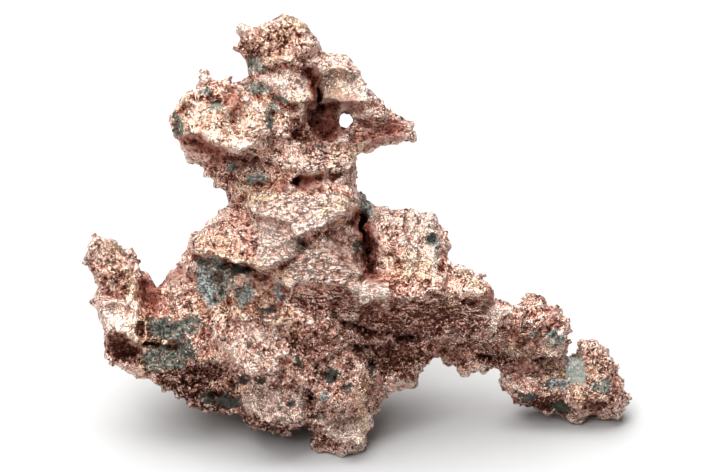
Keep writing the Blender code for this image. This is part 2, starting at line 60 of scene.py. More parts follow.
# The face's planes: how far each leans to the right and up, how far it stands out, how stained and
# painted dark it is (above 0 it is tarnish with painted shade, most on planes that lean down; below
# 0 it is polished and painted lighter, most on planes that lean up), and its outline. A plane that
# leans up catches the light from above, and one that leans down stays dark.
PLANES = {
    "crest": (0, 0, 0.3, 0.55, [(-15, 29.5), (-15.5, 34.5), (-11, 36), (-8, 35), (-6.5, 32), (-8, 30)]),
    "crest_spike": (-0.4, -0.7, 0, 0.9, [
        (-20.5, 31.2), (-18, 32.6), (-15.8, 32.4), (-15.6, 29.8), (-18, 29.6),
    ]),
    "crest_slope": (0.3, 0.7, 0, 0, [
        (-6.5, 31), (-8.5, 29), (-5.5, 27.5), (-1, 28), (0.4, 27.8), (-3, 30),
    ]),
    "brow_top": (0, 0.9, -0.2, -0.5, [
        (-14.4, 26.6), (-12.5, 27.6), (-9, 27.2), (-7.8, 25.4), (-11, 24.9), (-13.4, 25.4),
    ]),
    "brow": (-0.1, 0.5, 0.8, -0.3, [
        (-12.2, 23.2), (-11, 24.7), (-8, 25.3), (-6.6, 24.4), (-6.4, 22.6), (-9, 21.5), (-11, 21.8),
    ]),
    "brow_right": (0.1, 0.9, 1.3, -0.9, [
        (-5.4, 26.6), (-3, 27.5), (0, 27), (2, 24.5), (3.6, 22.6), (0.5, 21.7), (-5.2, 22.4),
    ]),
    "beak_top": (0.4, 0, 0.2, 0.3, [(0.6, 21.8), (3.8, 22.6), (9.8, 17.2), (6, 18.6), (2, 20.2)]),
    "beak_side": (0.1, -0.2, -0.6, -0.1, [
        (-1.2, 17.6), (0.5, 20.2), (6, 18.6), (9.5, 17), (6, 16.3), (0, 15.6),
    ]),
    "cheek_top": (-0.2, -0.1, -0.3, 0.4, [
        (-28.4, 22.3), (-26, 24.4), (-21, 24.8), (-19.4, 23.6), (-20.5, 21.8), (-24, 21.6),
    ]),
    "cheek": (-0.2, 0.4, 0.6, 0, [
        (-28.6, 19.4), (-27, 21.6), (-24, 20.6), (-21.4, 20.2), (-20.3, 17), (-20.6, 14), (-24.6, 15.2),
        (-25.2, 16.4), (-28.4, 16.9),
    ]),
    "cheek_right": (0.15, 0.45, 0.5, -0.2, [
        (-20.6, 20), (-19, 22.4), (-16.4, 22), (-15.2, 19), (-15.4, 15.5), (-17.6, 14), (-20.4, 13.6),
    ]),
    "jaw": (0, -0.8, -0.6, 0.25, [
        (-28.8, 16), (-25.4, 16.2), (-24.6, 15), (-20.5, 13.4), (-15.3, 13.9), (-16, 12), (-20, 11.2),
        (-23.5, 11.8), (-25.8, 12.6), (-27.8, 14.4),
    ]),
    "throat": (-0.4, -0.4, -0.4, 0.5, [
        (-26, 12.4), (-24.5, 11), (-22.6, 8.2), (-20.5, 7), (-18.8, 9.5), (-20, 11.2), (-23, 11.6),
    ]),
    "cave": (-0.3, -0.4, -2, 0.25, [
        (-7.4, 22.2), (-5.6, 21.8), (-3.2, 20.8), (-2.8, 18.4), (-3.4, 16.4), (-5.4, 15.9), (-7, 17.4),
        (-7.4, 19.5),
    ]),
    "cave_side": (0, -0.5, -1.1, 0.9, [
        (-7.4, 18.9), (-7, 17.2), (-5.6, 15.9), (-8, 15.5), (-10.4, 16), (-10.8, 18.8), (-8.8, 19.2),
    ]),
    "recess": (-0.5, -0.3, -1.2, 0.15, [
        (-35.8, -7.2), (-33.4, -7), (-31.6, -8.2), (-32.2, -10.4), (-33.4, -12.6), (-35, -12),
    ]),
    "neck": (0.1, 0.25, 0.2, -0.1, [
        (-14.5, 12.5), (-13.6, 17.5), (-10.6, 16), (-9.6, 14.8), (-4, 14.6), (-0.4, 13.4), (-0.8, 10.5),
        (-5, 10.6), (-10, 10.6),
    ]),
    "neck_strip": (0, 0.1, 0.3, 0, [
        (-14.2, 22.5), (-12.5, 23), (-10.8, 20.5), (-10.2, 16.6), (-12.8, 16), (-13.8, 18.2),
    ]),
    "neck_foot": (0, 0.25, 0, 0.1, [
        (-19.5, 10), (-13, 8.6), (-10.5, 7.8), (-5.5, 8.2), (-3, 9.6), (-1.2, 10.6), (0.2, 7),
        (-19.5, 6.5),
    ]),
    "slab_top": (0, 0.6, 0.4, -0.5, [
        (-18.5, 5), (-16, 7.4), (-10, 7.3), (-3, 7), (-0.6, 5.4), (-0.5, 3.2), (-4, 1.8), (-7, 0.6),
        (-9, 0.2), (-11, 2.5), (-15, 3.4),
    ]),
    "slab_left": (-0.15, 0.25, 0.4, 0.25, [
        (-22.4, 4.2), (-19.4, 5), (-16.8, 4), (-16.2, 0.5), (-16.4, -4.8), (-19.5, -4.4), (-26.8, -2.6),
        (-27, -0.3),
    ]),
    "slab": (0.1, 0.4, 0.5, -0.7, [
        (-16.2, 3.4), (-11.2, 2.3), (-9, -0.2), (-9.6, -2.8), (-13.8, -5.8), (-16, -5.2),
    ]),
    "step": (0.5, -0.35, -0.6, -0.3, [
        (-3.4, 1.7), (-0.5, 2.9), (0.9, 1), (1.9, -3.4), (2.3, -5), (-1, -2.3), (-3.6, -0.6),
    ]),
    "fibres": (0.05, 0.3, 0.2, -0.5, [
        (-10.6, -3.8), (-8.2, -1.4), (-3, -0.9), (0.2, -3.2), (2, -6), (-1, -7.4), (-9.8, -7.6),
    ]),
    "bridge": (0, 0.75, 0.5, -0.7, [
        (-1, -6.2), (2, -7.2), (5.5, -7.4), (6.2, -10.2), (1.4, -11.1), (-0.8, -10),
    ]),
    "shoulder_left": (0, 0.1, 0.3, 0.15, [
        (3, -0.5), (4.4, 4), (8, 3.6), (8.5, -1), (8, -6.5), (5, -7), (3.2, -5),
    ]),
    "shoulder": (0.2, 0.4, 0.4, -0.4, [
        (8.5, 3), (10, 3.6), (13.4, 3), (14, 0.5), (15.6, -3.5), (15.7, -7), (8.5, -7), (8.5, -1),
    ]),
    "shoulder_low": (0, 0.15, 0.5, 0.6, [(5, -7), (8, -6.6), (15, -6.8), (15.4, -10), (6, -10.2)]),
    "shoulder_out": (0.15, 0.45, 0.3, 0, [
        (15.8, -6), (18, -5.3), (22.8, -8), (23, -10.2), (20, -11), (15.2, -10.4),
    ]),
    "shelf": (0, -0.75, 0.3, 0.45, [
        (1.2, -11.3), (6, -10.7), (13.6, -10.5), (20, -11.4), (22.4, -13), (22, -16), (14, -16.6),
        (3, -16), (0.5, -14.5),
    ]),
    "shelf_left": (0, -0.35, 0, 0, [
        (-10, -8.2), (-1, -8), (0.4, -10.8), (1.3, -11.6), (0.4, -14.6), (-3, -13.8), (-10, -11),
    ]),
    "under_ledge": (0, -0.15, -1.3, 0.15, [
        (-26.6, -4.4), (-17.5, -6.2), (-13.5, -6.6), (-11.3, -9), (-12, -13), (-16, -13.3), (-20, -11.8),
        (-22, -12.2), (-24.8, -9.8), (-26.8, -6),
    ]),
    "flank_top": (-0.1, 0.15, 0.2, 0.05, [
        (-31, -8), (-28, -4), (-27, -9), (-24, -12.5), (-24, -17), (-28, -17), (-30, -12),
    ]),
    "belly_pink": (0, 0.5, 0.4, -0.5, [
        (-20.5, -13), (-16, -14), (-12, -15), (-10.5, -19), (-13, -23), (-18, -22.5), (-21, -18.5),
    ]),
    "belly": (0, -0.35, 0, 0.7, [(-12, -12.5), (-3, -14.5), (-1, -17), (-6, -20), (-10.5, -19.5)]),
    "belly_right": (0.1, -0.35, -2.2, 1, [
        (-0.4, -17.6), (2, -17.6), (10, -18), (13.6, -18.4), (14, -20), (11, -21.2), (10, -24.6), (6, -23),
        (1, -21),
    ]),
    "belly_low": (0, 0.4, 0.3, -0.9, [
        (-18.6, -25.5), (-12, -24.8), (-8.4, -26), (-8.2, -30.4), (-13, -31), (-17, -29.6),
    ]),
    "belly_mid": (0, 0.1, 0.2, 0.1, [
        (-12.5, -20), (-6.5, -20.5), (-2, -19), (1.8, -21), (1.6, -27), (-4, -28.5), (-6.5, -25),
        (-12.5, -24.4),
    ]),
    "belly_edge": (0, -0.7, 0, 1.3, [
        (-19, -28.6), (-16, -30.2), (-12, -31.2), (-9, -31), (-9.4, -32), (-12, -33), (-15.6, -32.6),
        (-19, -30),
    ]),
    "belly_left": (-0.1, -0.8, -0.2, 1.5, [
        (-30, -25.4), (-27.6, -24), (-24, -25.4), (-19.4, -26), (-19, -28.8), (-24, -29.5), (-28, -28),
    ]),
    "flank_under": (0, -0.8, -0.5, 1.3, [
        (-35, -21.4), (-28.6, -20.5), (-26.5, -21.5), (-23, -20.5), (-21, -22.6), (-24.5, -25.2),
        (-29, -25), (-33.5, -24.2),
    ]),
    "flank": (0, -0.2, 0.3, 1.45, [
        (-35, -13.5), (-31, -13.4), (-28, -14.5), (-28.2, -17.6), (-34.8, -17.4),
    ]),
    "flank_low": (0, -0.1, 0, 1, [
        (-35, -18.4), (-28.4, -18.6), (-28.4, -20.6), (-30, -22.4), (-34.8, -21.4),
    ]),
    "arm_tip": (-0.1, 0.2, 0.2, -0.4, [
        (-44.2, -0.4), (-42, -0.2), (-37, -2.8), (-36.6, -5), (-41.5, -4.6), (-45, -3.6),
    ]),
    "arm": (0, -0.25, -0.1, 0.5, [(-43.6, -5), (-37.4, -5), (-36.8, -8), (-38, -11), (-42, -9.5)]),
    "arm_strip": (0.2, 0.5, 0.3, -0.6, [
        (-37.2, -5.6), (-36.4, -8), (-36, -13), (-34.8, -14.2), (-36.4, -15), (-37.6, -10.5),
    ]),
    "arm_cream": (-0.15, 0.75, 0.5, -0.6, [
        (-42, -12.2), (-40, -10.8), (-37.3, -11.5), (-36.4, -14.5), (-35.3, -17.6), (-36, -18.6),
        (-38.3, -15.9), (-41.2, -15.8),
    ]),
    "arm_dark": (0, -1.1, 0, 0.9, [
        (-41.4, -16), (-38.4, -16.1), (-36, -18.7), (-35.2, -20.1), (-38, -20.4), (-41, -20), (-41.7, -18),
    ]),
    "arm_rim": (0, 0.4, 0.2, 0.8, [
        (-41.4, -20.1), (-38, -20.5), (-35, -20.4), (-34.8, -21.6), (-38, -21.6), (-40.4, -21.1),
    ]),
    "foot": (0.1, 0.8, 0.9, -1.4, [
        (-6, -30.8), (-1, -30), (3, -30.5), (1.9, -34.5), (-1, -34.2), (-4, -33.2),
    ]),
    "foot_side": (-0.5, -0.6, -0.3, 0.8, [
        (-7.6, -31.2), (-5.4, -32), (-2.6, -34.8), (-3, -36), (-6, -35.6), (-7.8, -34),
    ]),
    "wrist_knobs": (0, -0.4, -0.2, 0.6, [(14, -17.4), (20.5, -17.5), (20.4, -21.6), (18, -23), (15, -21)]),
    "wrist_pink": (-0.2, 0.7, 0.4, -1.1, [
        (20.8, -11.8), (23, -11.4), (26, -12), (25.8, -13.4), (23.9, -14), (23.8, -16), (22.3, -15.8),
        (22.4, -13.5),
    ]),
    "wrist_brown": (0.2, -0.5, 0, 0.6, [(24, -14), (26.6, -14.2), (27.2, -16), (24.2, -16.3)]),
    "hand_back": (0.1, 0.3, 0.3, 0.3, [
        (27, -12.6), (29, -11.4), (30, -10.2), (31.8, -11.2), (32, -13), (34, -12), (35.6, -16), (32, -15),
        (30, -15),
    ]),
    "hand_brown": (0.1, -0.6, 0.1, 0.8, [
        (26.4, -16.2), (29.2, -16), (30.3, -17.6), (29.8, -18.7), (27, -18.3),
    ]),
    "hand_side": (0.1, 0.9, 0.2, -1.2, [
        (30.4, -15.6), (32, -18.4), (35, -19.6), (33.5, -20), (31, -19.4), (30.2, -17.5),
    ]),
    "hand_orange": (0, -0.5, 0.1, -0.1, [
        (25, -21.6), (31, -21.4), (31.8, -22.2), (30.5, -23.3), (26, -22.6),
    ]),
    "hand_low": (0, 0.15, 0.3, 0, [
        (24.8, -23), (30, -23.6), (34, -22.4), (34.4, -25.8), (30, -26.6), (26.5, -25.9),
    ]),
    "hand_under": (0, -1, 0, 2.3, [
        (27, -26.7), (33, -26.7), (36, -28), (35.6, -30.2), (31, -29.2), (28, -28),
    ]),
    "hand_plate": (0, 0.08, 0, 0, [
        (36.2, -20.3), (38.3, -20.8), (40.4, -21.6), (40.3, -23), (39.8, -24.8), (38.6, -26), (36, -25.3),
        (35, -24), (36.4, -22.6),
    ]),
    "tip_top": (0.1, 0.3, 0.5, 0.2, [
        (38, -18.3), (39.5, -17.3), (41.2, -18.4), (42.6, -19.8), (43.3, -22.3), (41.5, -22), (40, -20.7),
        (38.3, -20.4),
    ]),
    "tip_side": (0.3, 0, 0.3, 0.4, [
        (41.4, -22.6), (43.6, -22.5), (45.2, -26), (45.2, -28), (42.8, -27.2), (42.6, -25),
    ]),
    "tip_red": (0, -0.6, -0.2, 1, [(38.2, -27.5), (44, -27.3), (44, -28.4), (41, -29.2), (38.4, -29.4)]),
}
# Strokes on the face: half-width, height (below 0 it is cut), and the points of its line
STROKES = {
    "ledge_shadow": (0.9, -1.9, [(-26.5, -3.5), (-24, -4), (-21, -4.8), (-17.5, -5.5)]),
    "ledge_edge": (0.7, -1.1, [
        (-17.5, -5.5), (-15, -7), (-13, -5.5), (-9, -3.5), (-8, -1), (-5, 0.7), (-3, 2.5),
    ]),
    "ledge_rim": (1, 0.5, [(-27, -2.3), (-24, -2.8), (-21, -3.5), (-17.5, -4.2), (-15, -6)]),
    "slab_fold": (0.5, -0.5, [(-16, 4), (-15.5, 0), (-15.8, -3)]),
    "groove": (1.35, -2.4, [(0.8, 3.2), (1.7, 0.6), (2.4, -2), (2.7, -5.6)]),
    "groove_side": (0.6, -1.2, [(-2.6, 3), (-0.4, 1.8), (0.8, 2)]),
    "groove_top": (1.1, -1.6, [(0, 2.4), (1, 1.4), (1.5, -0.6)]),
    "shelf_rim": (1.4, 0.8, [(-4, -7.2), (0, -8.4), (5, -9.4), (12, -9.2), (18, -8.4), (22, -9.6)]),
    "shelf_slot": (0.9, -2.6, [(0.2, -15.3), (1.8, -16), (3.2, -16.7), (5.4, -16.4)]),
    "shelf_crack": (0.5, -2, [(5.4, -16.5), (8.2, -17.1), (10.5, -17)]),
    "shelf_hollow": (2.2, -0.8, [(0, -13.2), (8, -13.4), (16, -13.4)]),
    "wrist_slot": (0.8, -2, [(21, -20.2), (25, -21)]),
    "wrist_crease": (0.5, -2, [(26, -20.9), (30.5, -20.8)]),
    "cheek_crack": (0.4, -0.9, [(-20.6, 21.4), (-19.8, 19), (-19.4, 16.6)]),
    "cheek_side": (0.8, -1.5, [(-28.3, 21.5), (-29.2, 19.5), (-29.4, 16.5)]),
    "cheek_rim": (1.1, 0.7, [(-27.5, 17.2), (-24, 16.6), (-20.5, 14.8), (-17, 14.4)]),
    "cheek_under": (0.7, -0.9, [(-28.5, 15.8), (-25, 15.2), (-21.5, 13.2), (-18, 12.6), (-14.5, 12)]),
    "crease": (0.8, -2.2, [(-7.6, 27.2), (-6.4, 24.4), (-5.6, 21.5)]),
    "brow_under": (0.6, -1.2, [(-16.5, 22.8), (-13, 22.6), (-10, 21)]),
    "crest_under": (0.6, -1.2, [(-15.5, 27), (-12, 28.2), (-8.5, 27.6)]),
    "neck_slit": (0.6, -1.2, [(-10.2, 8.8), (-8, 9.2), (-5.8, 9.6)]),
    "neck_crack": (0.5, -0.9, [(-20.5, 9.6), (-16.5, 8.4), (-12, 8.9)]),
    "beak_hollow": (1.6, -0.5, [(-1, 18.2), (3.5, 18.4), (7.6, 17.6)]),
    "beak_lip": (0.8, 0.5, [(-2.5, 15.4), (3, 15.9), (8, 16.9)]),
    "arm_facet": (2.1, -0.9, [(-39.6, -17.8), (-37.8, -18.6)]),
    "arm_rim": (0.6, 0.5, [(-41.2, -20.4), (-37.5, -21.4), (-34.5, -21.6)]),
    "flank_slit": (0.6, -1.6, [(-34.5, -18), (-31.5, -18.5), (-29, -18.3)]),
    "flank_lip": (0.8, 0.6, [(-35, -16.9), (-31.5, -17.4), (-28.6, -17.2)]),
    "belly_slot_a": (0.7, -2.6, [(-7.4, -26), (-7.1, -28.6)]),
    "belly_slot_b": (0.8, -2, [(-5, -22.9), (-3, -23.3)]),
    "belly_slot_c": (0.4, -1.5, [(-6.2, -21.4), (-6, -22.8)]),
    "belly_slot_d": (0.5, -1.8, [(2.7, -21), (2.9, -24)]),
    "belly_edge": (0.7, -1.2, [(-23.5, -26), (-19.5, -26.6), (-17, -25)]),
    "foot_top": (0.6, -1.3, [(-7.4, -29.6), (-5.5, -29.8), (-3.6, -29)]),
    "shoulder_notch": (0.8, -1.8, [(15, -2.5), (14.8, -5.4)]),
    "shoulder_cracks": (0.35, -0.7, [(7, -4.6), (9.5, -4.2), (12, -5)]),
}
# The hole right through the head: its middle and its half-widths
WINDOW = (-1.4, 19.35)
WINDOW_SIZE = (1.12, 1.32)
# Places where the outline is drawn out or pushed in: x, y, reach, move right, move up
NUDGES = [
    (-18.2, 34.6, 1.6, -0.7, 0.6),
    (-20, 31.6, 1.3, -0.8, 0.2),
    (-17.5, 26.8, 1.2, -0.7, -0.2),
    (-24.8, 26.5, 1.4, -0.4, 1),
    (-22.5, 25.8, 0.9, 0, -0.7),
    (-20.8, 25.9, 0.8, 0, 0.5),
    (-19.3, 25.7, 0.8, 0, -0.6),
    (-30.4, 19.5, 2.2, -0.5, 0),
    (-27.3, 13.4, 2.4, -1.1, -0.5),
    (-23.6, 9.2, 1.4, 0.8, 0.5),
    (-21.6, 7.2, 1, -0.5, 0.4),
    (-21.6, 4.3, 1.4, -0.7, 0.2),
    (-28.9, -1.8, 2.4, 1.2, -0.3),
    (-32.8, -7, 2.2, 0, -1),
    (-43, -1, 1.6, -0.3, 1.1),
    (-36.7, -4, 1.7, 0.8, 0),
    (-38.6, -1.9, 1.7, 0, -0.7),
    (-43.2, -9, 1.8, 0.8, 0),
    (-43.4, -11.5, 1, -0.7, 0),
    (-31.5, -24.8, 2.4, 0, -0.8),
    (-28.2, -27.3, 1.5, 0.4, 0.7),
    (-24.3, -29, 1.5, 0, -0.9),
    (-19, -30, 2, 0.3, 1),
    (-12.4, -33.4, 1.8, 0, 0.8),
    (-9, -33.2, 2.2, 0, 1.7),
    (4, -30.2, 2.2, -0.7, 0),
    (4.3, -27, 0.9, 0.8, 0),
    (2.2, -34, 1.2, -0.5, 0),
    (11.5, -23.4, 1.8, -0.8, 0.4),
    (12.4, -20.4, 0.9, 0, -1),
    (14.2, -20.8, 1.1, -0.3, 2),
    (15.8, -20.8, 0.9, 0, -0.9),
    (22, -22.4, 1.8, 0, -0.7),
    (24.9, -24.2, 1.8, -0.7, 0),
    (26.5, -27.2, 1.4, 0.5, 0.5),
    (28.5, -28.3, 1.6, 0, -0.6),
    (45.2, -27, 2.2, 0.6, 0),
    (36, -16.6, 1.8, -0.6, 0),
    (16, -2, 1.7, 0.8, 0),
    (14.6, 2.2, 1.4, -0.6, -0.5),
    (16.6, -4.9, 0.9, -0.7, -0.4),
    (22.4, -8, 1.4, 0.6, 0.7),
    (23.8, -10.3, 1.1, -0.2, -0.8),
    (32.7, -11.7, 1, 0, -0.7),
    (10.2, 17.4, 1.4, -0.8, 0),
]
# Pits in the face: x, y, half-width, depth
PITS = [
    (-28.3, -24.2, 0.9, 1.8),
    (-27, -21, 0.6, 1.1),
    (-14, -19, 0.7, 1.1),
    (-1.9, -33.5, 0.5, 1),
    (4.6, -23, 0.6, 1.6),
    (-0.3, -18.5, 1, 1.8),
    (-10.6, -27.8, 0.9, 1.2),
    (-18.3, -24, 0.9, 1.1),
    (-8.6, -1.2, 0.6, 1.4),
    (13, -0.8, 0.9, 1.2),
    (-13.7, 20.2, 0.8, 1.2),
    (-24.6, 23.7, 0.7, 0.8),
    (-23, 21.5, 0.9, 0.8),
    (-8.7, -20, 0.7, 1.2),
    (-9.4, 8.9, 0.8, 2),
    (-22.5, -7, 1.6, 1),
    (-18.3, -9.8, 1.6, 0.9),
    (-31, -15.5, 1.8, 0.8),
    (33.3, -16.8, 1, 0.8),
    (2.9, -22.1, 0.7, 2),
    (-0.8, -25, 0.7, 1.2),
    (-18.2, -23.6, 0.7, 1.3),
    (-15.2, -23.5, 0.6, 1.4),
    (-9.7, -20.2, 0.6, 1.2),
    (-7.3, -27.6, 0.5, 1.8),
    (-14.8, -18.8, 0.6, 1.2),
]
# Patches of mineral on the face: x, y, half-widths, turn in degrees, and paleness, which is 1
# where it is pale, 0 where it is green and -1 where it is nearly black; the nearly black spots in
# the pits and cuts and under the ledge are painted shade, the rest dark mineral
MINERAL = [
    (-22.8, -8, 3.4, 3.1, 20, 0),
    (-23.4, -4.8, 3, 1.2, -15, 0.2),
    (-20.2, -5.4, 3, 0.8, -14, -0.9),
    (-24.4, -8.6, 1.5, 3.2, 22, 1),
    (-18.2, -9.9, 1.4, 2.1, 0, 0.6),
    (-12.4, -9.2, 1, 1.5, 0, 0.8),
    (-14.2, -12.4, 1.7, 0.9, -10, -0.9),
    (-31, -15.4, 3.3, 1.9, -12, 0.15),
    (-26.8, -14.6, 1.6, 1.6, 0, -0.5),
    (-31.8, -20.4, 3.6, 2.4, -12, -0.15),
    (-28, -18.8, 1.3, 1.9, 0, -0.8),
    (37.2, -22.4, 2.2, 2.9, 25, 0.45),
    (33.8, -24.7, 2, 1.1, 0, 0.75),
    (41.4, -25, 1.7, 1.8, 0, -0.3),
    (36.4, -20.6, 1, 1.5, 20, 0.8),
    (33.4, -16.8, 1.2, 1.6, 20, 0.5),
    (29.8, -16.4, 0.6, 0.5, 0, 0.9),
    (-15.7, 24.5, 2.3, 1.2, -8, 0.15),
    (-16.4, 28.3, 1.9, 1.4, 0, -0.3),
    (-23, 21.5, 1.5, 0.9, 0, 0.1),
    (-24.6, 23.8, 1, 1, 0, 0.5),
    (-13.6, 21, 0.9, 1.4, 0, 0.4),
    (-13.8, 18.8, 0.7, 1.4, 0, -0.6),
    (-12, 22.8, 0.9, 0.7, 0, 0.35),
    (2.2, 5, 1.5, 2.4, 20, 0.4),
    (13, -0.8, 1.5, 1, -40, 0.35),
    (-8.5, -1.6, 0.45, 1.2, -12, 0.5),
    (-10.7, -27.8, 1.1, 0.8, 0, -0.6),
    (-5.8, -29.9, 1, 0.6, 0, -0.3),
    (-18.3, -23.8, 1.1, 0.7, 0, -0.9),
    (-15, -23.7, 0.7, 0.7, 0, -0.9),
    (-9.5, -20.1, 0.7, 0.8, 0, -0.9),
    (-5, -26.4, 0.9, 0.6, 0, 0.7),
    (-3.6, -23.2, 1.4, 0.9, -10, -1),
    (2.9, -22.1, 0.6, 1.7, 8, -0.9),
    (-0.8, -25, 0.8, 0.8, 0, -0.6),
    (-20.6, -27.4, 2.4, 1.2, -6, -1),
    (-24.6, -27, 1.4, 0.9, 0, -1),
    (29, -26.8, 1.6, 0.8, 0, -0.9),
    (34.6, -28.4, 1.7, 0.9, 0, -0.9),
    (-20.5, 11.4, 0.9, 0.7, 0, 0.2),
    (-15.8, 9.6, 1.8, 1, 0, 0.5),
    (-29, 18.6, 0.8, 2.4, 8, -0.5),
    (0.6, -1.7, 0.8, 1.1, 20, -0.9),
]
# Zones of the face, as soft ellipses: x, y, half-widths, turn in degrees, strength.
# Here the grain is fibrous, across the face
FIBROUS = [
    (11.5, -13.6, 12, 3.2, 0, 1),
    (-4.5, -5.4, 7, 2.6, -5, 1),
    (-3, -11, 8, 2.6, 5, 0.8),
    (3.6, 17.8, 6, 2.4, 10, 0.8),
    (-8, 4.6, 8, 3, 0, 0.6),
    (-13, -2, 4, 3, -20, 0.8),
    (-5, 13, 5.5, 2.4, -35, 0.8),
    (28, -17, 3.5, 2.4, -20, 0.7),
    (28, -22, 4, 1.6, 0, 0.6),
]
# Golden metal
GOLD = [
    (-23, -1.6, 5, 1.8, -14, 0.35),
    (-17.5, -4.6, 2.6, 1.6, -30, 0.8),
    (-18, -11, 5, 2.6, 20, 0.7),
    (9.5, -5, 4, 2.6, 0, 0.8),
    (19, -7.6, 3, 1.6, -20, 0.5),
    (-14, 31, 4, 3, 0, 0.6),
    (-3.5, 24.5, 2.4, 3, 30, 0.6),
    (-22, 18.8, 5, 4, 0, 0.5),
    (-16, 8, 4, 3, 0, 0.6),
    (-26, -12.5, 3, 3, 0, 0.5),
    (33, -22.6, 2.6, 1.6, 0, 0.6),
    (41, -22, 2.2, 3, 0, 0.5),
]
# Cuprite red
RED = [
    (-34, -9.6, 1.6, 3, 20, 1),
    (-30, -6.4, 2.4, 1.2, 0, 0.7),
    (-5, 18.8, 2.8, 3.6, 8, 1),
    (-6.6, 24.6, 1.2, 3, 15, 1),
    (4.6, 17.2, 4.6, 1.6, 12, 0.9),
    (-0.6, 21.8, 2.6, 1.2, -35, 0.6),
    (-24, 14.2, 5, 1.5, -25, 1),
    (-19.6, 22, 1.6, 2.4, 30, 0.8),
    (1.6, 0.4, 1.6, 4.6, 22, 1),
    (-8, 8.8, 3.2, 1.2, 5, 0.9),
    (3.6, -7, 1.8, 0.9, -20, 0.9),
    (-1.4, -3.6, 3.4, 1.2, -40, 0.65),
    (28.4, -17.4, 2.6, 1.5, -20, 0.7),
    (28.6, -21.8, 2.4, 1, 0, 0.9),
    (39.6, -28.2, 1.8, 1.2, 0, 0.8),
    (22.6, -9.8, 1, 1.6, 0, 0.9),
    (33, -12.4, 1.4, 1.4, 0, 0.6),
    (15.6, -19.6, 3, 2.4, 0, 0.5),
    (6, -19, 5, 1.8, 0, 0.5),
    (-15, -8, 2.6, 1.4, 0, 0.3),
    (-38.6, -18.2, 3, 1.6, -6, 0.8),
]
# Crumbly, all small knobs and facets
CRUMBLY = [
    (-8, -24, 13, 12, 0, 0.9),
    (5, -20, 8, 4, 0, 0.8),
    (20, -18, 7, 4, 0, 0.8),
    (31, -14, 6, 5, -20, 0.7),
    (36, -24, 11, 7, -15, 0.9),
    (-41, -4, 5, 6, 0, 0.9),
    (-22, -14, 8, 6, 0, 0.5),
    (-24, -24, 10, 5, -15, 0.8),
    (-18, 30, 4, 4, 0, 0.7),
    (14.5, 0.5, 2.5, 3.5, 0, 0.7),
    (-23, 24, 6, 3, 0, 0.6),
]
# Smooth enough to shine
SMOOTH = [
    (-24, 18.6, 4.6, 3, 5, 0.8),
    (-18, 17.6, 2.6, 4, 0, 0.5),
    (-39.6, -13, 1.8, 4, 35, 0.8),
    (-38.6, -18.2, 2.6, 1.9, -6, 0.9),
    (-14, 2, 9, 4.6, 12, 0.45),
    (8, -13.6, 10, 2.4, -3, 0.6),
    (4, 17.4, 5, 1.8, 12, 0.5),
    (37.4, -22.8, 2.7, 3.1, 15, 0.9),
    (-18.3, -9.8, 1.5, 2.3, 0, 0.7),
    (28.2, -16.8, 2.6, 1.6, -20, 0.6),
]


# ---------------- objects, meshes and arrays


def new_object(name, data):
    made = bpy.data.objects.new(name, data)
    bpy.context.scene.collection.objects.link(made)
    return made


def axes():
    """The face frame's axes in the row frame, as the rows of a matrix."""
    return np.array(Matrix.Rotation(LEAN, 3, "X")).T


def rows_of(items, name, width, kind=np.float32):
    """A named value of the items, one row each."""
    flat = np.empty(len(items) * width, kind)
    items.foreach_get(name, flat)
    return flat.reshape(-1, width)


def points_of(mesh):
    return rows_of(mesh.vertices, "co", 3).astype(float)


def normals_of(mesh):
    return rows_of(mesh.vertex_normals, "vector", 3).astype(float)


def put_points(mesh, points):
    mesh.vertices.foreach_set("co", points.astype(np.float32).ravel())
    mesh.update()


def edges_of(mesh):
    return rows_of(mesh.edges, "vertices", 2, np.int32)


def relaxed(values, edges, rounds, keep=0.0):
    """Each point's value pulled to the mean of its neighbours, again and again."""
    count = len(values)
    first, second = edges.T
    ends = np.bincount(first, minlength=count) + np.bincount(second, minlength=count)
    values = values.astype(float)
    for _ in range(rounds):
        mean = np.empty_like(values)
        for axis in range(values.shape[1]):
            column = values[:, axis]
            mean[:, axis] = np.bincount(first, column[second], count)
            mean[:, axis] += np.bincount(second, column[first], count)
        values = keep * values + (1 - keep) * mean / ends[:, None]
    return values


def released(holder):
    """The mesh as the holder's modifier leaves it; the holder goes."""
    graph = bpy.context.evaluated_depsgraph_get()
    made = bpy.data.meshes.new_from_object(holder.evaluated_get(graph))
    bpy.data.objects.remove(holder)
    return made


def remeshed(mesh, size):
    """The mesh again, as an even skin of quads of the given size."""
    holder = new_object("holder", mesh)
    skin = holder.modifiers.new("skin", "REMESH")
    skin.mode = "VOXEL"
    skin.voxel_size = size
    return released(holder)


def thinned(mesh, triangles):
    """The mesh with fewer faces; the side away from the face gives up more of them."""
    holder = new_object("holder", mesh)
    behind = holder.vertex_groups.new(name="behind")
    behind.add(np.flatnonzero(facing(normals_of(mesh)) < 0.3).tolist(), 0.6, "REPLACE")
    cut = holder.modifiers.new("cut", "DECIMATE")
    cut.vertex_group = behind.name
    cut.ratio = triangles / sum(len(face.vertices) - 2 for face in mesh.polygons)
    return released(holder)


def ramp(low, high, value):
    """0 below low, 1 above high, smooth between; it falls where low is above high."""
    share = np.clip((value - low) / (high - low), 0.0, 1.0)
    return share * share * (3 - 2 * share)


# ---------------- fields: a noise takes its size in millimetres and a number of its own


def wave(points, size, number):
    """Smooth noise, about -1 to 1."""
    places = (points / size + FIELD_STEP * number).tolist()
    return np.array([noise.noise(place) for place in places])


def crag(points, size, number, octaves=3):
    """Ridged noise, 0 in the hollows and up to about 1 on the ridges."""
    places = (points / size + FIELD_STEP * number).tolist()
    made = [noise.ridged_multi_fractal(place, 0.9, 2.1, octaves, 1.0, 2.0) for place in places]
    return np.array(made) / 2.0


def drift(points, size, number):
    """Three noises as one vector, each about -1 to 1."""
    places = (points / size + FIELD_STEP * number).tolist()
    return np.array([noise.noise_vector(place) for place in places])


